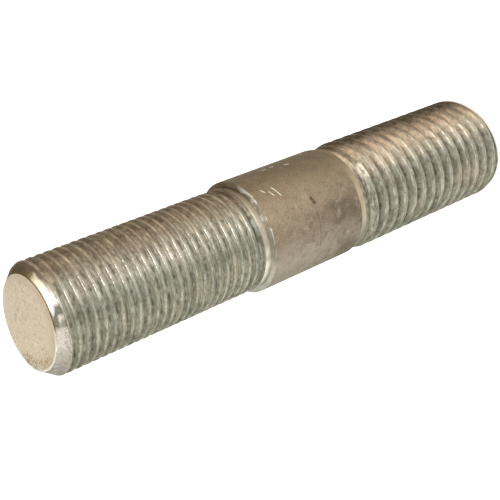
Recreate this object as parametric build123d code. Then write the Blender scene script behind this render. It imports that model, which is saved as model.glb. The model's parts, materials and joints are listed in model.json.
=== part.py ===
from build123d import *
import os
from math import atan, ceil, degrees, radians, tan

# Double ended stud: one bar of steel with a coarse thread rolled on one end, a plain shank
# in the middle and a fine thread rolled on the other end. The coarse thread is right-handed
# and the fine one left-handed.
#
# Millimetres. The stud stands on its coarse end: +Z runs along its axis, and the origin is
# the centre of the coarse end's flat face.
#
# The coarse thread is cut as a true helix, with flat crests and a V root, and it runs out
# into the shoulder beside the shank. The fine thread is surface detail, so its end is the
# plain cylinder that its crests touch.

# Coarse end, M20 x 2.5, from its flat face to the shank
COARSE_END_LENGTH = 39.0
COARSE_CREST_DIAMETER = 19.64
COARSE_FACE_DIAMETER = 15.6
COARSE_CHAMFER_LENGTH = 2.3
COARSE_BLANK_DIAMETER = 18.3
COARSE_SHOULDER_LENGTH = 2.8
COARSE_NECK_LENGTH = 0.3
COARSE_RISE_LENGTH = 1.4

# Plain shank
SHANK_DIAMETER = 19.5
SHANK_LENGTH = 19.7

# Fine end, M18 x 1.5, from the shank to its flat face
FINE_END_LENGTH = 39.9
FINE_CREST_DIAMETER = 17.95
FINE_FACE_DIAMETER = 14.9
FINE_CHAMFER_LENGTH = 2.2
FINE_BLANK_DIAMETER = 17.1
FINE_SHOULDER_LENGTH = 2.1
FINE_NECK_LENGTH = 0.3
FINE_RISE_LENGTH = 0.9

# Coarse thread form: its groove stops short of the shank by the gap, after its run-out.
# The cutter stands proud of the crests by its lift.
PITCH = 2.5
FLANK_ANGLE = 30.0
THREAD_DEPTH = 1.53
RUN_OUT_LENGTH = 2.5
RUN_OUT_GAP = 2.55
CUTTER_LIFT = 0.12


def end_outline(length, crest_diameter, face_diameter, chamfer_length, blank_diameter,
                shoulder_length, neck_length, rise_length):
    """Corners (radius, distance from the flat face) of one end, from face to shoulder.

    The bar is turned down to the blank diameter, which shows at the neck beside the
    shoulder. Rolling the thread then raises its crests above the blank.
    """
    shoulder = length - shoulder_length
    neck = shoulder - neck_length
    return [
        (face_diameter / 2, 0),
        (crest_diameter / 2, chamfer_length),
        (crest_diameter / 2, neck - rise_length),
        (blank_diameter / 2, neck),
        (blank_diameter / 2, shoulder),
    ]


def turned_bar():
    """The whole stud before its groove is cut, turned about Z."""
    coarse = end_outline(COARSE_END_LENGTH, COARSE_CREST_DIAMETER, COARSE_FACE_DIAMETER,
                         COARSE_CHAMFER_LENGTH, COARSE_BLANK_DIAMETER,
                         COARSE_SHOULDER_LENGTH, COARSE_NECK_LENGTH, COARSE_RISE_LENGTH)
    fine = end_outline(FINE_END_LENGTH, FINE_CREST_DIAMETER, FINE_FACE_DIAMETER,
                       FINE_CHAMFER_LENGTH, FINE_BLANK_DIAMETER,
                       FINE_SHOULDER_LENGTH, FINE_NECK_LENGTH, FINE_RISE_LENGTH)
    shank_top = COARSE_END_LENGTH + SHANK_LENGTH
    stud_length = shank_top + FINE_END_LENGTH
    shank = [(SHANK_DIAMETER / 2, COARSE_END_LENGTH), (SHANK_DIAMETER / 2, shank_top)]
    fine_from_shank = [(radius, stud_length - z) for radius, z in reversed(fine)]
    outline = [(0, 0)] + coarse + shank + fine_from_shank + [(0, stud_length)]
    return revolve(Plane.XZ * Polygon(*outline, align=None), Axis.Z)


def thread_groove():
    """Cutters for the coarse thread's groove: a run-out near the shank, then full turns.

    The turns go down from the run-out until one lies wholly below the end face. Each is
    swept along its own single turn of the helix.
    """
    lean = tan(radians(FLANK_ANGLE))
    root_radius = COARSE_CREST_DIAMETER / 2 - THREAD_DEPTH
    cutter_height = THREAD_DEPTH + CUTTER_LIFT
    mouth_half = cutter_height * lean
    section = Plane.XZ * Polygon(
        (root_radius, 0),
        (root_radius + cutter_height, -mouth_half),
        (root_radius + cutter_height, mouth_half),
        align=None,
    )

    run_out_slope = degrees(atan(cutter_height / RUN_OUT_LENGTH))
    run_out_path = Helix(PITCH, RUN_OUT_LENGTH, root_radius, cone_angle=run_out_slope)
    run_out = sweep(section, path=run_out_path, is_frenet=True)
    turn = sweep(section, path=Helix(PITCH, PITCH, root_radius), is_frenet=True)

    full_depth_end = COARSE_END_LENGTH - RUN_OUT_GAP - RUN_OUT_LENGTH
    cutters = [Pos(0, 0, full_depth_end) * run_out]
    for number in range(ceil(full_depth_end / PITCH) + 1):
        cutters.append(Pos(0, 0, full_depth_end - (number + 1) * PITCH) * turn)
    return cutters


os.makedirs("parts", exist_ok=True)
export_step(turned_bar() - thread_groove(), "parts/stud.step")
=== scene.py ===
"""The look of the double ended stud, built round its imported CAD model.

Metres, +Z along the stud, which stands on its coarse end. One detailed mesh takes the place
of the CAD solid: it follows the same outline and adds both rolled threads, rounded edges,
nicks and the slightly crooked cut of each end. Each zone of the bar has its own procedural
finish. Angles are counted round +Z from +X.
"""

import json
import math

import bmesh
import bpy
import numpy as np
from mathutils import Matrix, Vector


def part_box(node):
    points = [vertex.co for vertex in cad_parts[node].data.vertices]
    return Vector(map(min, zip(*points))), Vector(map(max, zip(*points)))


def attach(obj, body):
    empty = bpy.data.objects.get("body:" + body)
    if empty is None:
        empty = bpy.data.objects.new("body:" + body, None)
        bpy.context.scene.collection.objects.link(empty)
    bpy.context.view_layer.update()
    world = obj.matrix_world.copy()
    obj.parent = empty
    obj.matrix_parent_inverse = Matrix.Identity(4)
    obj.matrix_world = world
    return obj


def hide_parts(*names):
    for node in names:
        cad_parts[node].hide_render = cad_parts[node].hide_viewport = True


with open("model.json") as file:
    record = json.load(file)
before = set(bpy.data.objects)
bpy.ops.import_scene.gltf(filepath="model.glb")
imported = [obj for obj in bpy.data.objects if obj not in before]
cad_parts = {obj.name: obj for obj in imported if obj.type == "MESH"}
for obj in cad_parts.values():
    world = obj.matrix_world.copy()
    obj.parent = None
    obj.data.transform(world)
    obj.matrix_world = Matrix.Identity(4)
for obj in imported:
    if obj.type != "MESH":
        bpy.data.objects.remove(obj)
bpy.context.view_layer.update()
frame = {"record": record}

MM = 0.001

# ---------------------------------------------------------------- sizes, from the frame

low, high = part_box("stud")
LENGTH = high.z - low.z
MOUNTS = {mount["name"]: mount for mount in frame["record"]["mounts"]}


def mount_radius(name):
    """The radius of a round mount, in metres."""
    return MOUNTS[name]["dims"]["r_mm"] * MM


COARSE_CREST = mount_radius("coarse_thread")
FINE_CREST = mount_radius("fine_thread")
SHANK = mount_radius("shank")
SHANK_LENGTH = MOUNTS["shank"]["dims"]["length_mm"] * MM
SHANK_BOTTOM = MOUNTS["shank"]["pos_m"][2] - SHANK_LENGTH / 2
SHANK_TOP = SHANK_BOTTOM + SHANK_LENGTH

# ---------------------------------------------------------------- sizes of the look

# Shoulders and necks beside the shank
COARSE_BLANK = 9.15 * MM
COARSE_SHOULDER = 2.8 * MM
COARSE_RISE = 1.7 * MM
FINE_BLANK = 8.55 * MM
FINE_SHOULDER = 2.1 * MM
FINE_RISE = 1.2 * MM

# Ends: the rim of each face, where its chamfer meets the crests, and how far the cut leans
COARSE_RIM = 7.8 * MM
COARSE_CHAMFER = 1.6 * MM
COARSE_CHAMFER_LEAN = 0.7 * MM
COARSE_FACE_LEAN = 0.6 * MM
COARSE_LEAN_TOWARDS = math.radians(180)
FINE_RIM = 7.46 * MM
FINE_CHAMFER = 2.25 * MM
FINE_FACE_LEAN = 0.55 * MM
FINE_LEAN_TOWARDS = math.radians(128)

# How far corners are rounded, on the bar and where a thread meets it
EDGE_SOFTNESS = 0.12 * MM
THREAD_SOFTNESS = 0.03 * MM

# Wear: a slight wave all over, as (waves round the bar, radians per metre along it, shift),
# and small nicks
WAVE_DEPTH = 0.006 * MM
WAVES = [(3, 900, 0), (7, -1700, 2), (13, 2900, 4)]
NICK_COUNT = 260
NICK_WIDTHS = (0.12 * MM, 0.45 * MM)
NICK_DEPTHS = (0.03 * MM, 0.10 * MM)

# The mesh: columns round the bar, and rows along each stretch of it. The grid of each thread
# meets the plain middle's grid on its shoulder.
COLUMNS = 120
ANGLES = np.linspace(0, 2 * math.pi, COLUMNS, endpoint=False)
ROWS_PER_COARSE_TURN = 20
ROWS_PER_FINE_TURN = 16
COARSE_SHOULDER_ROWS = 6
SHANK_ROWS = 59
FINE_SHOULDER_ROWS = 8
FACE_RINGS = 9
COARSE_GRID_TOP = SHANK_BOTTOM - COARSE_SHOULDER / 2
FINE_GRID_BOTTOM = SHANK_TOP + 0.7 * FINE_SHOULDER
MERGE_DISTANCE = 0.012 * MM
SHARP_ANGLE = math.radians(42)

ZONES = ["coarse_face", "coarse_thread", "middle", "fine_thread", "fine_chamfer", "fine_face"]


# ---------------------------------------------------------------- shape

def bar_corners():
    """Corners (z, radius) of the turned bar between its two chamfers."""
    coarse_neck = SHANK_BOTTOM - COARSE_SHOULDER
    fine_neck = SHANK_TOP + FINE_SHOULDER
    return [
        (0, COARSE_CREST),
        (coarse_neck - COARSE_RISE, COARSE_CREST),
        (coarse_neck, COARSE_BLANK),
        (SHANK_BOTTOM, SHANK),
        (SHANK_TOP, SHANK),
        (fine_neck, FINE_BLANK),
        (fine_neck + FINE_RISE, FINE_CREST),
        (LENGTH, FINE_CREST),
    ]


BAR_Z, BAR_R = np.array(bar_corners()).T


def bar_radius(z):
    """The turned bar's radius at heights z, with its corners a little rounded."""
    samples = 7
    steps = np.linspace(-EDGE_SOFTNESS, EDGE_SOFTNESS, samples)
    return np.mean([np.interp(z + step, BAR_Z, BAR_R) for step in steps], axis=0)


def soft_min(a, b, width):
    """The smaller of a and b, with the corner between them rounded over width."""
    share = np.clip(0.5 + 0.5 * (b - a) / width, 0, 1)
    return b + (a - b) * share - width * share * (1 - share)


def soft_max(a, b, width):
    """The larger of a and b, with the corner between them rounded over width."""
    return -soft_min(-a, -b, width)


def coarse_face_height(angle, radius):
    """Height of the coarse end's cut: it touches the floor at its low side."""
    fall = radius / COARSE_RIM * np.cos(angle - COARSE_LEAN_TOWARDS)
    return COARSE_FACE_LEAN * (1 - fall)


def fine_face_height(angle, radius):
    """Height of the fine end's cut: it reaches the stud's full length at its high side."""
    rise = radius / FINE_RIM * np.cos(angle - FINE_LEAN_TOWARDS)
    return LENGTH - FINE_FACE_LEAN * (1 - rise)


def coarse_chamfer(angle, z):
    """Radius of the coarse end's chamfer, from its leaning rim to the crests."""
    rim = coarse_face_height(angle, COARSE_RIM)
    top = COARSE_CHAMFER - COARSE_CHAMFER_LEAN * np.cos(angle - COARSE_LEAN_TOWARDS)
    return COARSE_RIM + (COARSE_CREST - COARSE_RIM) * (z - rim) / (top - rim)


def fine_chamfer(angle, z):
    """Radius of the fine end's chamfer, from its leaning rim to the crests."""
    rim = fine_face_height(angle, FINE_RIM)
    return FINE_RIM + (FINE_CREST - FINE_RIM) * (rim - z) / (rim - (LENGTH - FINE_CHAMFER))


class Thread:
    """One rolled thread.

    hand is 1 for right and -1 for left, and phase is the height of a crest at angle 0. crest
    is the crest's radius, and crest_flat, depth, slope, crest_round and root_round give the
    groove's form. seam is the depth of the line that rolling leaves along the crest. The
    thread is full as far as full_from and has faded out at fades_to, and chamfer gives the
    radius of its end's chamfer.
    """

    def __init__(self, hand, pitch, phase, crest, crest_flat, depth, slope, crest_round,
                 root_round, seam, full_from, fades_to, chamfer):
        self.hand = hand
        self.pitch = pitch
        self.phase = phase
        self.crest = crest
        self.crest_flat = crest_flat
        self.depth = depth
        self.slope = slope
        self.crest_round = crest_round
        self.root_round = root_round
        self.seam = seam
        self.full_from = full_from
        self.fades_to = fades_to
        self.chamfer = chamfer

    def drop(self, angle, z):
        """How far the thread's surface lies below its crest."""
        turn = (z - self.phase) / self.pitch - self.hand * angle / (2 * math.pi)
        from_crest = np.abs(turn - np.round(turn)) * self.pitch
        flank = self.slope * (from_crest - self.crest_flat / 2)
        drop = soft_min(soft_max(flank, 0, self.crest_round), self.depth, self.root_round)
        seam_width = 0.06 * self.pitch
        return drop + self.seam * np.exp(-(from_crest / seam_width) ** 2)

    def radius(self, angle, z):
        """The threaded surface: the thread, where it lies below the bar and its chamfer."""
        share = np.clip((z - self.fades_to) / (self.full_from - self.fades_to), 0, 1)
        drop = np.maximum(self.drop(angle, z) - self.depth * (1 - share), 0)
        bar = soft_min(bar_radius(z), self.chamfer(angle, z), EDGE_SOFTNESS)
        return soft_min(bar, self.crest - drop, THREAD_SOFTNESS)


COARSE_THREAD = Thread(
    hand=1, pitch=2.5 * MM, phase=1.07 * MM, crest=COARSE_CREST, crest_flat=1.05 * MM,
    depth=0.85 * MM, slope=1.40, crest_round=0.46 * MM, root_round=0.12 * MM, seam=0.0,
    full_from=SHANK_BOTTOM - 4.4 * MM, fades_to=SHANK_BOTTOM - 1.4 * MM,
    chamfer=coarse_chamfer)
FINE_THREAD = Thread(
    hand=-1, pitch=1.5 * MM, phase=1.45 * MM, crest=FINE_CREST, crest_flat=0.48 * MM,
    depth=0.26 * MM, slope=0.95, crest_round=0.30 * MM, root_round=0.06 * MM, seam=0.03 * MM,
    full_from=SHANK_TOP + 3.2 * MM, fades_to=SHANK_TOP + 1.6 * MM,
    chamfer=fine_chamfer)


def crowded(count):
    """count steps from 0 to 1, closer together at the crest (0) and the root (0.5)."""
    crowding = 0.45
    steps = np.arange(count) / count
    return steps - crowding * np.sin(4 * math.pi * steps) / (4 * math.pi)


def helical_rows(thread, rows_per_turn, z_low, z_high):
    """Heights of a grid whose rows follow the thread, held between two edge rings.

    A row that has gone once round meets the row that is rows_per_turn along the thread.
    """
    first = math.floor((z_low.min() - thread.phase) / thread.pitch) - 1
    last = math.ceil((z_high.max() - thread.phase) / thread.pitch) + 1
    turns = np.concatenate([turn + crowded(rows_per_turn) for turn in range(first, last)])
    lead = thread.hand * ANGLES[None, :] / (2 * math.pi)
    z = thread.phase + thread.pitch * (turns[:, None] + lead)
    return np.clip(z, z_low, z_high)


def nicks():
    """Handling damage: (angle, z, width, depth) of small dents, the same at each run."""
    draw = np.random.default_rng(11)
    for _ in range(NICK_COUNT):
        yield (draw.uniform(0, 2 * math.pi), draw.uniform(0, LENGTH),
               draw.uniform(*NICK_WIDTHS), draw.uniform(*NICK_DEPTHS))


NICKS = list(nicks())


def worn(radius, z):
    """The radius with a slight wave and the nicks pressed into it."""
    angle = np.broadcast_to(ANGLES, radius.shape)
    wave = sum(np.sin(around * angle + along * z + shift) for around, along, shift in WAVES)
    radius = radius - WAVE_DEPTH * (1 + wave / len(WAVES))
    for nick_angle, nick_z, width, depth in NICKS:
        around = np.angle(np.exp(1j * (angle - nick_angle))) * radius
        away = (around ** 2 + (z - nick_z) ** 2) / width ** 2
        radius = radius - depth * np.exp(-away)
    return radius


class Skin:
    """Collects grids of points, the faces between them and each face's zone."""

    def __init__(self):
        self.points = []
        self.faces = []
        self.zones = []

    def add_grid(self, radius, z, rows_up, zone):
        """Adds a grid of rows; its last column meets its first one rows_up rows higher."""
        start = len(self.points)
        radius = worn(radius, z)
        x = radius * np.cos(ANGLES)
        y = radius * np.sin(ANGLES)
        self.points.extend(np.stack([x, y, z], axis=2).reshape(-1, 3).tolist())
        rows = z.shape[0]
        for row in range(rows - 1):
            for column in range(COLUMNS):
                next_row = row + rows_up if column == COLUMNS - 1 else row
                if next_row < 0 or next_row + 1 >= rows:
                    continue
                here = start + row * COLUMNS + column
                there = start + next_row * COLUMNS + (column + 1) % COLUMNS
                self.faces.append((here, there, there + COLUMNS, here + COLUMNS))
                on_chamfer = zone == "fine_thread" and z[row, column] > LENGTH - FINE_CHAMFER
                self.zones.append(ZONES.index("fine_chamfer" if on_chamfer else zone))

    def add_disc(self, rim, height, rings, zone, facing):
        """Closes an end with rings that shrink to a middle point; facing is 1 up, -1 down."""
        start = len(self.points)
        for ring in range(rings):
            radius = rim * (1 - ring / rings)
            z = height(ANGLES, radius)
            self.points.extend(np.stack(
                [radius * np.cos(ANGLES), radius * np.sin(ANGLES), z], axis=1).tolist())
        middle = len(self.points)
        self.points.append((0.0, 0.0, float(height(0.0, 0.0))))
        for ring in range(rings):
            for column in range(COLUMNS):
                here = start + ring * COLUMNS + column
                there = start + ring * COLUMNS + (column + 1) % COLUMNS
                face = (here, there, there + COLUMNS, here + COLUMNS)
                if ring == rings - 1:
                    face = (here, there, middle)
                self.faces.append(face if facing > 0 else face[::-1])
                self.zones.append(ZONES.index(zone))


def build_skin():
    """The whole stud as grids: coarse thread, plain middle, fine thread and two end faces."""
    skin = Skin()

    z = helical_rows(COARSE_THREAD, ROWS_PER_COARSE_TURN,
                     coarse_face_height(ANGLES, COARSE_RIM), np.full(COLUMNS, COARSE_GRID_TOP))
    skin.add_grid(COARSE_THREAD.radius(ANGLES, z), z, ROWS_PER_COARSE_TURN, "coarse_thread")

    heights = np.concatenate([
        np.linspace(COARSE_GRID_TOP, SHANK_BOTTOM, COARSE_SHOULDER_ROWS, endpoint=False),
        np.linspace(SHANK_BOTTOM, SHANK_TOP, SHANK_ROWS, endpoint=False),
        np.linspace(SHANK_TOP, FINE_GRID_BOTTOM, FINE_SHOULDER_ROWS)])
    z = np.repeat(heights[:, None], COLUMNS, axis=1)
    radius = np.where(z < SHANK_BOTTOM, COARSE_THREAD.radius(ANGLES, z),
                      FINE_THREAD.radius(ANGLES, z))
    on_shank = (z >= SHANK_BOTTOM) & (z <= SHANK_TOP)
    radius = np.where(on_shank, bar_radius(z), radius)
    skin.add_grid(radius, z, 0, "middle")

    z = helical_rows(FINE_THREAD, ROWS_PER_FINE_TURN,
                     np.full(COLUMNS, FINE_GRID_BOTTOM), fine_face_height(ANGLES, FINE_RIM))
    skin.add_grid(FINE_THREAD.radius(ANGLES, z), z, -ROWS_PER_FINE_TURN, "fine_thread")

    skin.add_disc(COARSE_RIM, coarse_face_height, FACE_RINGS, "coarse_face", -1)
    skin.add_disc(FINE_RIM, fine_face_height, FACE_RINGS, "fine_face", 1)
    return skin


def make_body(finishes):
    """The stud's visible mesh, with one finish for each zone."""
    skin = build_skin()
    mesh = bpy.data.meshes.new("stud_body")
    mesh.from_pydata(skin.points, [], skin.faces)
    mesh.polygons.foreach_set("material_index", skin.zones)
    for zone in ZONES:
        mesh.materials.append(finishes[zone])
    work = bmesh.new()
    work.from_mesh(mesh)
    bmesh.ops.remove_doubles(work, verts=work.verts, dist=MERGE_DISTANCE)
    bmesh.ops.recalc_face_normals(work, faces=work.faces)
    for face in work.faces:
        face.smooth = True
    work.to_mesh(mesh)
    work.free()
    mesh.set_sharp_from_angle(angle=SHARP_ANGLE)
    body = bpy.data.objects.new("stud_body", mesh)
    bpy.context.collection.objects.link(body)
    return body


# ---------------------------------------------------------------- finishes

# Darkens reflections in the metal at grazing angles
SPECULAR_TINT = (0.4, 0.39, 0.36, 1)

# How high the grain and the larger marks stand
GRAIN_RELIEF = 0.03 * MM
MARK_RELIEF = 0.05 * MM


def srgb(red, green, blue):
    """A screen colour, 0 to 255, as the linear colour that Blender mixes."""
    def linear(value):
        value = value / 255
        return value / 12.92 if value <= 0.04045 else ((value + 0.055) / 1.055) ** 2.4
    return (linear(red), linear(green), linear(blue), 1.0)


class Finish:
    """A material that is written as calls, most of which add a node.

    x, y, z and radius are in millimetres. side is -1 on the bar's -X side and 1 on its +X
    side, and angle is in radians.
    """

    def __init__(self, name):
        self.material = bpy.data.materials.new(name)
        self.material.use_nodes = True
        self.nodes = self.material.node_tree.nodes
        self.links = self.material.node_tree.links
        self.shader = self.nodes["Principled BSDF"]
        place = self.nodes.new("ShaderNodeTexCoord").outputs["Object"]
        self.place = self.vector("SCALE", place, scale=1 / MM)
        parts = self.nodes.new("ShaderNodeSeparateXYZ")
        self.links.new(self.place, parts.inputs[0])
        self.x, self.y, self.z = parts.outputs
        across = self.plus(self.times(self.x, self.x), self.times(self.y, self.y))
        self.radius = self.math("SQRT", across)
        self.side = self.share_of_radius(self.x)
        self.angle = self.math("ARCTAN2", self.y, self.x)

    def put(self, socket, value):
        """Links value to a socket, or sets it there if it is a plain number or colour."""
        if isinstance(value, bpy.types.NodeSocket):
            self.links.new(value, socket)
        else:
            socket.default_value = value

    def math(self, operation, a, b=0.0):
        node = self.nodes.new("ShaderNodeMath")
        node.operation = operation
        self.put(node.inputs[0], a)
        self.put(node.inputs[1], b)
        return node.outputs[0]

    def plus(self, a, b):
        return self.math("ADD", a, b)

    def minus(self, a, b):
        return self.math("SUBTRACT", a, b)

    def times(self, a, b):
        return self.math("MULTIPLY", a, b)

    def share_of_radius(self, length):
        """A length divided by the radius, which is held above 0."""
        return self.math("DIVIDE", length, self.math("MAXIMUM", self.radius, 0.01))

    def vector(self, operation, a, b=None, scale=None):
        node = self.nodes.new("ShaderNodeVectorMath")
        node.operation = operation
        self.put(node.inputs[0], a)
        if b is not None:
            self.put(node.inputs[1], b)
        if scale is not None:
            self.put(node.inputs["Scale"], scale)
        return node.outputs[0]

    def step(self, value, start, end, low=0.0, high=1.0):
        """A smooth step: low where value is at start, high where it is at end."""
        node = self.nodes.new("ShaderNodeMapRange")
        node.interpolation_type = "SMOOTHSTEP"
        self.put(node.inputs["Value"], value)
        node.inputs["From Min"].default_value = start
        node.inputs["From Max"].default_value = end
        node.inputs["To Min"].default_value = low
        node.inputs["To Max"].default_value = high
        return node.outputs["Result"]

    def band(self, value, start, full_from, full_to, end):
        """1 where value lies between full_from and full_to, fading to 0 at start and end."""
        return self.times(self.step(value, start, full_from),
                          self.step(value, full_to, end, 1.0, 0.0))

    def noise(self, size, detail, stretch=(1, 1, 1), seed=0):
        """Noise, 0 to 1, whose spots are about size mm across, longer where stretch is."""
        place = self.vector("MULTIPLY", self.place, tuple(1 / length for length in stretch))
        node = self.nodes.new("ShaderNodeTexNoise")
        node.noise_dimensions = "4D"
        node.inputs["W"].default_value = seed
        node.inputs["Scale"].default_value = 1 / size
        node.inputs["Detail"].default_value = detail
        self.links.new(place, node.inputs["Vector"])
        return node.outputs["Fac"]

    def swing(self, noise, amount):
        """Noise moved to lie about 0 and spread over amount."""
        return self.times(self.minus(noise, 0.5), amount)

    def around(self, shift):
        """0 on the -X side and 1 on the +X side, plus a shift."""
        return self.plus(self.plus(self.times(self.side, 0.5), 0.5), shift)

    def facing(self, degrees, start, end):
        """1 on the side that faces an angle round Z, where the cosine passes from start to end."""
        angle = math.radians(degrees)
        across = self.plus(self.times(self.x, math.cos(angle)),
                           self.times(self.y, math.sin(angle)))
        return self.step(self.share_of_radius(across), start, end)

    def turn(self, thread):
        """Turns along the thread: whole numbers lie on the middle of its crest."""
        above = self.minus(self.z, thread.phase / MM)
        turn = self.math("DIVIDE", above, thread.pitch / MM)
        return self.minus(turn, self.math("DIVIDE", self.angle, thread.hand * 2 * math.pi))

    def scratch(self, start, end, width):
        """A fine line between two (degrees, z) places on the shank, with faded ends."""
        radius = SHANK / MM
        fade = 0.3
        start_arc = math.radians(start[0]) * radius
        line_arc = math.radians(end[0]) * radius - start_arc
        line_rise = end[1] - start[1]
        length = math.hypot(line_arc, line_rise)
        arc = self.minus(self.times(self.angle, radius), start_arc)
        rise = self.minus(self.z, start[1])
        along = self.plus(self.times(arc, line_arc / length),
                          self.times(rise, line_rise / length))
        off = self.minus(self.times(arc, line_rise / length),
                         self.times(rise, line_arc / length))
        return self.times(self.band(along, 0, fade, length - fade, length),
                          self.step(self.math("ABSOLUTE", off), width, 0.3 * width))

    def ramp(self, value, stops):
        """A colour ramp from stops, each of them (place, red, green, blue)."""
        node = self.nodes.new("ShaderNodeValToRGB")
        self.put(node.inputs[0], value)
        elements = node.color_ramp.elements
        while len(elements) < len(stops):
            elements.new(0.5)
        for element, (place, *colour) in zip(elements, stops):
            element.position = place
            element.color = srgb(*colour)
        return node.outputs[0]

    def mix(self, share, a, b, blend="MIX"):
        node = self.nodes.new("ShaderNodeMix")
        node.data_type = "RGBA"
        node.blend_type = blend
        self.put(node.inputs[0], share)
        self.put(node.inputs[6], a)
        self.put(node.inputs[7], b)
        return node.outputs[2]

    def layers(self, colour, *layers):
        """The colour with layers laid over it in turn, each of them (share, colour)."""
        for share, layer in layers:
            colour = self.mix(share, colour, layer)
        return colour

    def shade(self, colour, value, start, end, low, high):
        """The colour times low where value is at start, and times high where it is at end."""
        return self.vector("SCALE", colour, scale=self.step(value, start, end, low, high))

    def bump(self, *reliefs):
        """The normal over reliefs laid on each other, each (height, strength, distance)."""
        normal = None
        for height, strength, distance in reliefs:
            node = self.nodes.new("ShaderNodeBump")
            node.inputs["Strength"].default_value = strength
            node.inputs["Distance"].default_value = distance
            self.put(node.inputs["Height"], height)
            if normal is not None:
                self.put(node.inputs["Normal"], normal)
            normal = node.outputs[0]
        return normal

    def finish(self, colour, metallic, roughness, normal):
        self.shader.inputs["Specular Tint"].default_value = SPECULAR_TINT
        self.put(self.shader.inputs["Base Color"], colour)
        self.put(self.shader.inputs["Metallic"], metallic)
        self.put(self.shader.inputs["Roughness"], roughness)
        self.put(self.shader.inputs["Normal"], normal)
        return self.material


# Colours round the bar, from its -X side (0) to its +X side (1). Besides the metal's own
# tone they hold painted light and shade: darker and browner towards +X as painted shade, and
# lighter bands as painted highlights, such as the chamfer's cream band.
COARSE_CRESTS = [(0.0, 150, 150, 134), (0.09, 170, 168, 150), (0.21, 188, 184, 166),
                 (0.37, 162, 160, 146), (0.50, 162, 159, 148), (0.61, 204, 194, 176),
                 (0.75, 190, 172, 149), (0.86, 144, 126, 105), (0.95, 82, 70, 54)]
COARSE_ROOTS = [(0.0, 172, 172, 155), (0.09, 194, 192, 172), (0.21, 200, 196, 177),
                (0.37, 180, 177, 162), (0.50, 192, 188, 174), (0.61, 214, 204, 188),
                (0.75, 236, 219, 197), (0.86, 230, 207, 180), (0.95, 132, 113, 90)]
COARSE_SHOULDER_COLOURS = [(0.0, 130, 128, 112), (0.12, 170, 164, 146), (0.25, 202, 190, 168),
                           (0.42, 194, 177, 147), (0.60, 178, 160, 132), (0.75, 140, 123, 98),
                           (0.95, 120, 102, 80)]
SHANK_COLOURS = [(0.0, 166, 163, 145), (0.15, 182, 173, 153), (0.32, 148, 133, 113),
                 (0.55, 162, 144, 120), (0.75, 142, 124, 98), (0.86, 115, 98, 73),
                 (0.95, 100, 85, 62)]
FINE_SHOULDER_COLOURS = [(0.0, 202, 204, 188), (0.15, 234, 229, 210), (0.36, 186, 178, 160),
                         (0.55, 184, 174, 156), (0.75, 152, 138, 116), (0.86, 120, 104, 84),
                         (0.95, 98, 82, 62)]
FINE_CRESTS = [(0.0, 158, 158, 142), (0.15, 172, 170, 152), (0.28, 162, 160, 144),
               (0.38, 142, 142, 129), (0.55, 192, 189, 176), (0.75, 156, 144, 125),
               (0.86, 162, 145, 120), (0.95, 131, 114, 92)]
FINE_ROOTS = [(0.0, 170, 170, 153), (0.15, 187, 185, 165), (0.28, 187, 185, 166),
              (0.38, 168, 168, 152), (0.55, 188, 185, 172), (0.75, 180, 166, 144),
              (0.86, 152, 136, 112), (0.95, 122, 106, 85)]
CHAMFER_COLOURS = [(0.0, 194, 190, 176), (0.20, 244, 238, 224), (0.33, 236, 230, 216),
                   (0.37, 118, 116, 105), (0.44, 110, 108, 97), (0.50, 246, 243, 234),
                   (0.84, 232, 220, 190), (0.88, 134, 118, 86), (0.95, 98, 86, 62)]

# Colours of patches in noise
FACE_COLOURS = [(0.3, 202, 188, 164), (0.5, 212, 197, 172), (0.7, 218, 203, 177)]
FAINT_TINTS = [(0.38, 252, 255, 252), (0.62, 255, 252, 250)]

# Marks on the shank, as the (degrees, z) places of their two ends
SHANK_DENT = ((-84.5, 48.5), (-138, 48.8))
SHANK_PIT = ((-80.0, 48.9), (-90.0, 48.3))
SHANK_SCRATCHES = [((-54.5, 56.5), (-60.7, 55.9)), ((-55.8, 54.3), (-69.9, 53.6)),
                   ((-59.4, 55.3), (-67.3, 54.8)), ((-24.8, 51.9), (-26.5, 50.7)),
                   ((-24.0, 50.1), (-27.0, 49.1)), ((-30.0, 47.6), (-33.5, 46.6))]


def painted_shade_line(look, colour, turn, depth):
    """A painted shade line along the thread on its +X side, with painted light on what lies
    between.

    The line is below the crest where it begins, and crosses to above it as it nears +X.
    """
    crossing = 0.79
    offset = 0.445
    place = look.plus(look.minus(turn, look.times(look.side, crossing)), offset)
    from_line = look.math("PINGPONG", place, 0.5)
    shaded_colour = look.shade(colour, from_line, 0.04, 0.26, 1 - depth, 1 + 0.4 * depth)
    return look.mix(look.step(look.side, 0.28, 0.48), colour, shaded_colour)


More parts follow.
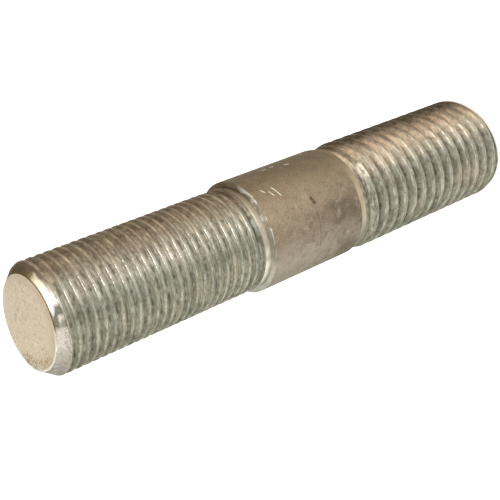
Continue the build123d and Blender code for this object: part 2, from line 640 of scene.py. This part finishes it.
def zinc_thread(name, thread, crests, roots, staining, uneven, crest_roughness, shade_line_depth):
    """Rolled and zinc plated: worn crest edges with a painted highlight that fades towards +X,
    dull flanks, and roots made darker than the crests.

    crests and roots are the colours of the two round the bar, which carry painted light and
    shade. staining says how strongly it is stained, and uneven how far its turns differ. The
    last argument says how dark a line of painted shade the thread has on its +X side, and 0
    leaves the line out.
    """
    look = Finish(name)
    grime = look.noise(1.3, 4, seed=3)
    streak = look.noise(0.45, 3, (3.0, 3.0, 0.5), seed=8)
    grain = look.noise(0.18, 3, seed=5)
    patchy = look.swing(grime, 0.8 * uneven)
    around = look.around(patchy)
    turn = look.turn(thread)
    # 0 on the crest and 1 in the root
    away = look.plus(look.times(look.math("PINGPONG", turn, 0.5), 2.0), patchy)

    # Crest and root colours round the bar, with painted shade towards +X and painted highlight
    # bands
    colour = look.mix(look.step(away, 0.25, 0.80), look.ramp(around, crests),
                      look.ramp(around, roots))
    # The roots made darker than the crests, less so on the +X side
    darker_root = look.mix(1.0, colour, srgb(206, 201, 188), "MULTIPLY")
    root_darkening = look.times(look.step(away, 0.60, 0.95), look.step(look.side, 0.6, 0.2, 0.25, 1.0))
    # Worn crest edges, painted bright as a highlight that is strong on the lit side and faint
    # towards +X
    worn_edge_and_glint = look.times(look.band(away, 0.14, 0.24, 0.30, 0.44), look.step(streak, 0.46, 0.60))
    lit_side = look.step(look.side, 0.60, 0.25, 0.05, 0.6)
    dull = look.times(look.step(streak, 0.47, 0.30),
                      look.step(look.side, 0.2, 0.5, 0.30, 0.30 - 0.9 * shade_line_depth))
    dark_grain = look.step(grain, 0.35, 0.75, 0.0, 0.35)
    spots = look.step(look.noise(0.6, 2, seed=21), 0.68, 0.75)
    stain = look.times(look.step(look.noise(2.2, 5, seed=33), 0.48, 0.62),
                       look.step(look.side, 0.35, 0.75, 0.2 * staining, staining))
    colour = look.layers(colour,
                         (root_darkening, darker_root),
                         (look.times(worn_edge_and_glint, lit_side), srgb(226, 222, 208)),
                         (dull, srgb(112, 108, 95)),
                         (dark_grain, srgb(96, 91, 79)),
                         (look.times(spots, 0.6), srgb(62, 55, 42)),
                         (stain, srgb(96, 76, 62)))
    # A line of painted shade along the thread on its +X side
    if shade_line_depth > 0:
        colour = painted_shade_line(look, colour, turn, shade_line_depth)

    turns = look.noise(1.4, 2, (4.0, 4.0, 0.7), seed=51)
    marks = look.noise(0.5, 5, (1.6, 1.6, 0.6), seed=61)
    specks = look.noise(0.7, 3, (1.3, 1.3, 0.8), seed=81)
    colour = look.shade(colour, turns, 0.30, 0.70, 1 - uneven, 1 + uneven)
    colour = look.shade(colour, marks, 0.30, 0.70, 1 - 0.7 * uneven, 1 + 0.7 * uneven)
    colour = look.shade(colour, specks, 0.40, 0.55, 1 - 0.45 * uneven, 1 + 0.2 * uneven)
    colour = look.mix(1.0, colour, look.ramp(look.noise(2.5, 3, seed=41), FAINT_TINTS), "MULTIPLY")

    roughness = look.minus(look.step(away, 0.4, 0.75, crest_roughness, 0.62),
                           look.step(streak, 0.42, 0.60, 0.0, 0.16))
    roughness = look.plus(roughness, look.step(specks, 0.54, 0.44, 0.0, 0.28))
    fading = look.step(look.z, thread.full_from / MM, thread.fades_to / MM, 0.0, 0.3)
    roughness = look.plus(roughness, fading)
    normal = look.bump((grain, 0.45, GRAIN_RELIEF), (streak, 0.30, MARK_RELIEF))
    return look.finish(colour, 0.8, roughness, normal)


def shank_colour(look, around, patches, blotches, mottle, grain):
    """Matte metal with painted light and shade round the bar, darker towards +X, dark and pale
    patches, a long dent, a pit and bright scratches.
    """
    low_side = look.times(look.step(look.z, 50, 42), look.step(look.side, 0.15, -0.2))
    dark = look.times(look.step(patches, 0.40, 0.60, 0.25, 1.0), low_side)
    worn_low = look.times(look.step(look.side, 0.5, -0.1, 0.15, 0.42),
                          look.step(look.z, 57, 47, 0.35, 1))
    dark_grain = look.step(grain, 0.35, 0.70, 0.0, 0.40)
    light_grain = look.step(grain, 0.60, 0.30, 0.0, 0.25)
    near_coarse_end = look.step(look.z, 52, 41, 0.0, 0.24)
    pale = look.times(look.step(look.noise(1.4, 3, seed=14), 0.52, 0.72),
                      look.step(look.side, 0.4, -0.2, 0.05, 0.4))
    dent = look.scratch(*SHANK_DENT, 0.14)
    pit = look.times(look.scratch(*SHANK_PIT, 0.45), look.step(blotches, 0.40, 0.56, 0.2, 0.9))
    # The shank's colours round the bar carry painted light and shade, darker towards +X
    colour = look.layers(look.ramp(around, SHANK_COLOURS),
                         (look.times(dark, 0.75), srgb(100, 88, 76)),
                         (look.times(mottle, worn_low), srgb(100, 87, 74)),
                         (dark_grain, srgb(112, 98, 78)),
                         (light_grain, srgb(186, 172, 148)),
                         (near_coarse_end, srgb(104, 92, 74)),
                         (pale, srgb(190, 180, 162)),
                         (look.times(dent, 0.35), srgb(92, 80, 64)),
                         (pit, srgb(82, 70, 54)))
    broken = look.step(grain, 0.35, 0.5, 0.3, 1.0)
    for start, end in SHANK_SCRATCHES:
        mark = look.times(look.scratch(start, end, 0.13), broken)
        colour = look.mix(mark, colour, srgb(240, 234, 214))
    return colour


def middle_finish():
    """The plain middle: matte shank, tan coarse shoulder and zinc plated fine shoulder, with
    painted light and shade round the bar and a painted highlight along the plating's edge.
    """
    look = Finish("shank_and_shoulders")
    bottom = SHANK_BOTTOM / MM
    top = SHANK_TOP / MM
    patches = look.noise(3.2, 4, seed=2)
    blotches = look.noise(1.3, 8, seed=7)
    grain = look.noise(0.2, 3, seed=9)
    turned = look.noise(0.35, 2, (6.0, 6.0, 0.5), seed=4)
    mottle = look.step(blotches, 0.42, 0.68)
    around = look.around(look.swing(patches, 0.12))

    # Shoulder colours round the bar, with painted shade towards +X and a painted highlight band
    coarse_shoulder = look.mix(look.times(mottle, 0.3), look.ramp(around, COARSE_SHOULDER_COLOURS),
                               srgb(134, 116, 92))
    shank = shank_colour(look, around, patches, blotches, mottle, grain)
    fine_shoulder = look.mix(look.times(mottle, 0.35), look.ramp(around, FINE_SHOULDER_COLOURS),
                             srgb(140, 132, 116))
    height = look.plus(look.z, look.swing(look.noise(2.4, 3, seed=24), 0.5))
    colour = look.mix(look.step(height, bottom - 0.25, bottom + 0.15), coarse_shoulder, shank)
    plated = look.step(height, top - 0.15, top + 0.15)
    colour = look.mix(plated, colour, fine_shoulder)

    # A painted highlight along the wavy edge of the plating, on the lit side only
    lit = look.facing(-75, 0.75, 0.97)
    torn = look.swing(look.noise(0.8, 4, seed=29), 0.9)
    edge_height = look.plus(height, look.times(torn, lit))
    edge_highlight = look.band(edge_height, top - 0.15, top, top + 0.12, top + 0.3)
    patchily_lit = look.times(lit, look.step(patches, 0.40, 0.52, 0.3, 1.0))
    colour = look.mix(look.times(edge_highlight, patchily_lit), colour, srgb(240, 236, 222))

    metallic = look.plus(look.times(plated, 0.1), 0.7)
    roughness = look.plus(look.times(plated, -0.15), look.step(blotches, 0.3, 0.7, 0.50, 0.62))
    normal = look.bump((grain, 0.40, GRAIN_RELIEF), (turned, 0.20, GRAIN_RELIEF))
    return look.finish(colour, metallic, roughness, normal)


def chamfer_finish():
    """The fine end's chamfer: streaky zinc with a painted highlight, and painted shade that
    darkens it to olive brown towards +X.
    """
    look = Finish("fine_chamfer")
    blotches = look.noise(1.2, 4, seed=17)
    streak = look.noise(0.5, 3, (1.0, 1.0, 4.0), seed=18)
    grain = look.noise(0.2, 3, seed=19)
    glints = look.noise(0.4, 4, (0.7, 0.7, 1.6), seed=71)
    # Moves where the painted highlight begins on the outer part of the chamfer
    slant = look.times(look.step(look.radius, 7.7, 8.4),
                       look.band(look.side, -0.3, -0.1, 0.25, 0.5))
    around = look.minus(look.around(look.swing(blotches, 0.10)), look.times(slant, 0.09))

    low_side = look.step(look.side, 0.0, -0.3)
    dull_streaks = look.times(look.step(streak, 0.50, 0.70, 0.0, 0.4), low_side)
    white_streaks = look.times(look.step(streak, 0.46, 0.30, 0.0, 0.6), low_side)
    # The chamfer's colours round it: a painted highlight band and painted shade towards +X
    colour = look.layers(look.ramp(around, CHAMFER_COLOURS),
                         (dull_streaks, srgb(160, 154, 136)),
                         (white_streaks, srgb(252, 248, 240)))
    colour = look.shade(colour, glints, 0.30, 0.70, 0.84, 1.16)

    # Painted shade on the outer part of the chamfer towards +X
    blotched_radius = look.plus(look.radius, look.swing(blotches, 0.8))
    outer_shade = look.times(look.step(blotched_radius, 8.20, 8.60),
                       look.step(look.side, 0.2, 0.6, 0.15, 0.95))
    inner = look.times(look.step(look.radius, 7.72, 7.52), look.facing(-65, 0.5, 0.8))
    colour = look.layers(colour, (outer_shade, srgb(112, 98, 78)), (inner, srgb(110, 86, 50)))
    normal = look.bump((grain, 0.4, GRAIN_RELIEF), (streak, 0.3, MARK_RELIEF))
    return look.finish(colour, 0.75, look.step(streak, 0.3, 0.7, 0.34, 0.52), normal)


def face_finish(name):
    """The cut faces: matte tan metal, mottled, with a greyer rim and a painted highlight on a
    crescent of the rim.
    """
    look = Finish(name)
    patches = look.noise(2.6, 4, seed=6)
    mottle = look.noise(0.5, 4, seed=12)
    grain = look.noise(0.2, 3, seed=1)
    specks = look.noise(0.35, 5, seed=44)
    patchy_radius = look.plus(look.radius, look.swing(patches, 0.9))

    grey_side = look.facing(20, -0.2, 0.9)
    tan_mottle = look.step(mottle, 0.46, 0.66, 0.0, 0.45)
    dark_grain = look.step(grain, 0.45, 0.7, 0.0, 0.35)
    tan_rim = look.times(look.step(look.radius, 5.4, 7.0), look.facing(-65, -0.3, 0.5))
    grey_rim = look.times(look.step(patchy_radius, 6.4, 7.0), look.facing(100, 0.1, 0.6))
    brown_place = look.times(look.step(patchy_radius, 4.9, 6.2), look.facing(165, 0.62, 0.92))
    brown = look.times(brown_place, look.step(specks, 0.44, 0.60, 0.15, 0.9))
    speckled = look.times(look.step(patches, 0.44, 0.60), look.step(specks, 0.50, 0.60, 0.0, 0.5))
    # A painted highlight on a crescent of the rim
    rim_highlight = look.times(look.step(look.radius, 7.0, 7.25), look.facing(205, 0.6, 0.9))
    colour = look.layers(look.ramp(patches, FACE_COLOURS),
                         (look.times(grey_side, 0.5), srgb(202, 190, 172)),
                         (tan_mottle, srgb(176, 160, 132)),
                         (dark_grain, srgb(168, 154, 130)),
                         (look.times(tan_rim, 0.7), srgb(186, 169, 146)),
                         (look.times(grey_rim, 0.8), srgb(200, 198, 178)),
                         (brown, srgb(140, 118, 82)),
                         (speckled, srgb(150, 134, 108)),
                         (look.times(rim_highlight, 0.8), srgb(238, 230, 212)))
    normal = look.bump((grain, 0.35, GRAIN_RELIEF), (mottle, 0.25, MARK_RELIEF))
    return look.finish(colour, 0.15, 0.62, normal)


finishes = {
    "coarse_face": face_finish("coarse_face"),
    "coarse_thread": zinc_thread(
        "coarse_thread", COARSE_THREAD, COARSE_CRESTS, COARSE_ROOTS,
        staining=0.15, uneven=0.14, crest_roughness=0.50, shade_line_depth=0.21),
    "middle": middle_finish(),
    "fine_thread": zinc_thread(
        "fine_thread", FINE_THREAD, FINE_CRESTS, FINE_ROOTS,
        staining=0.35, uneven=0.19, crest_roughness=0.27, shade_line_depth=0.0),
    "fine_chamfer": chamfer_finish(),
    "fine_face": face_finish("fine_face"),
}

body = make_body(finishes)
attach(body, "root")
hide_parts("stud")


# ---------------------------------------------------------------- floor, lamps, world

FLOOR_HALF = 3.0
FLOOR_COLOUR = (0.82, 0.82, 0.82, 1)
FLOOR_GLOW = 0.72
WORLD_LEVEL = 0.45
WORLD_LEVEL_IN_GLOSS = 0.68
WORLD_COLOUR = (1.0, 0.985, 0.96, 1)
LAMP_COLOUR = (1.0, 0.99, 0.97)
MIDDLE = Vector((0, 0, LENGTH / 2))


def seen_directly(tree):
    """1 for what the camera sees, straight or by way of gloss or glass, and 0 for light."""
    path = tree.nodes.new("ShaderNodeLightPath")
    seen = path.outputs["Is Camera Ray"]
    for name in ("Is Glossy Ray", "Is Transmission Ray"):
        either = tree.nodes.new("ShaderNodeMath")
        either.operation = "MAXIMUM"
        tree.links.new(seen, either.inputs[0])
        tree.links.new(path.outputs[name], either.inputs[1])
        seen = either.outputs[0]
    return seen


def make_floor():
    """A pale floor that shows white and keeps a faint shadow."""
    corners = [(-FLOOR_HALF, -FLOOR_HALF, 0), (FLOOR_HALF, -FLOOR_HALF, 0),
               (FLOOR_HALF, FLOOR_HALF, 0), (-FLOOR_HALF, FLOOR_HALF, 0)]
    mesh = bpy.data.meshes.new("floor")
    mesh.from_pydata(corners, [], [(0, 1, 2, 3)])
    floor = bpy.data.objects.new("floor", mesh)
    bpy.context.collection.objects.link(floor)
    material = bpy.data.materials.new("floor_white")
    material.use_nodes = True
    tree = material.node_tree
    paper = tree.nodes["Principled BSDF"]
    paper.inputs["Base Color"].default_value = FLOOR_COLOUR
    paper.inputs["Roughness"].default_value = 0.9
    paper.inputs["Specular IOR Level"].default_value = 0.0
    paper.inputs["Emission Color"].default_value = (1, 1, 1, 1)
    glow = tree.nodes.new("ShaderNodeMath")
    glow.operation = "MULTIPLY"
    glow.inputs[1].default_value = FLOOR_GLOW
    tree.links.new(seen_directly(tree), glow.inputs[0])
    tree.links.new(glow.outputs[0], paper.inputs["Emission Strength"])
    mesh.materials.append(material)


def make_world():
    """Even studio light from all round, brighter in gloss and white to the camera."""
    world = bpy.data.worlds.new("studio")
    bpy.context.scene.world = world
    world.use_nodes = True
    tree = world.node_tree
    light = tree.nodes["Background"]
    light.inputs["Color"].default_value = WORLD_COLOUR
    path = tree.nodes.new("ShaderNodeLightPath")
    level = tree.nodes.new("ShaderNodeMapRange")
    level.inputs["To Min"].default_value = WORLD_LEVEL
    level.inputs["To Max"].default_value = WORLD_LEVEL_IN_GLOSS
    tree.links.new(path.outputs["Is Glossy Ray"], level.inputs["Value"])
    tree.links.new(level.outputs["Result"], light.inputs["Strength"])
    white = tree.nodes.new("ShaderNodeBackground")
    white.inputs["Color"].default_value = (1, 1, 1, 1)
    pick = tree.nodes.new("ShaderNodeMixShader")
    tree.links.new(path.outputs["Is Camera Ray"], pick.inputs[0])
    tree.links.new(light.outputs[0], pick.inputs[1])
    tree.links.new(white.outputs[0], pick.inputs[2])
    tree.links.new(pick.outputs[0], tree.nodes["World Output"].inputs["Surface"])


def direction(azimuth, elevation):
    """Azimuth 0 is the -Y side and 90 the +X side, in degrees."""
    turned = math.radians(azimuth)
    raised = math.radians(elevation)
    return Vector((math.sin(turned) * math.cos(raised), -math.cos(turned) * math.cos(raised),
                   math.sin(raised)))


def placed(right, up, back, place):
    """The matrix of an object with these axes at this place."""
    return Matrix((
        (right.x, up.x, back.x, place.x),
        (right.y, up.y, back.y, place.y),
        (right.z, up.z, back.z, place.z),
        (0, 0, 0, 1)))


def softbox(name, towards, distance, width, height, radiance, along=(0, 0, 1)):
    """An area lamp that faces the stud, as bright as radiance, with its height along a line."""
    lamp = bpy.data.lights.new(name, "AREA")
    lamp.shape = "RECTANGLE"
    lamp.size = width
    lamp.size_y = height
    lamp.energy = radiance * math.pi * width * height
    lamp.color = LAMP_COLOUR
    holder = bpy.data.objects.new(name, lamp)
    bpy.context.collection.objects.link(holder)
    back = towards.normalized()
    right = Vector(along).cross(back).normalized()
    up = back.cross(right)
    holder.matrix_world = placed(right, up, back, MIDDLE + distance * back)


make_floor()
make_world()
softbox("key", direction(55, 72), distance=0.6, width=0.14, height=0.60, radiance=3.0,
        along=(0.8, 0.54, -0.26))
softbox("front", direction(25, 3), distance=0.7, width=0.50, height=0.10, radiance=9.5)
softbox("top", direction(180, 66), distance=0.6, width=0.30, height=0.30, radiance=5.0,
        along=(1, 0, 0))


# ---------------------------------------------------------------- camera

CAMERA_PLACE = Vector((-2.70, -138.80, 152.24)) * MM
CAMERA_BACK = Vector((0, -0.8252, 0.5645))
CAMERA_RIGHT = Vector((-0.389, -0.5199, -0.7603))
CAMERA_LENS = 72.2


def make_camera():
    """Looks down on the standing stud from the -Y side, with the stud lying across the view."""
    data = bpy.data.cameras.new("camera")
    data.sensor_width = 36.0
    data.lens = CAMERA_LENS
    data.clip_start = 0.01
    data.clip_end = 20.0
    camera = bpy.data.objects.new("camera", data)
    bpy.context.collection.objects.link(camera)
    back = CAMERA_BACK.normalized()
    up = back.cross(CAMERA_RIGHT).normalized()
    camera.matrix_world = placed(up.cross(back), up, back, CAMERA_PLACE)
    bpy.context.scene.camera = camera


make_camera()
bpy.context.scene.view_settings.view_transform = "Standard"
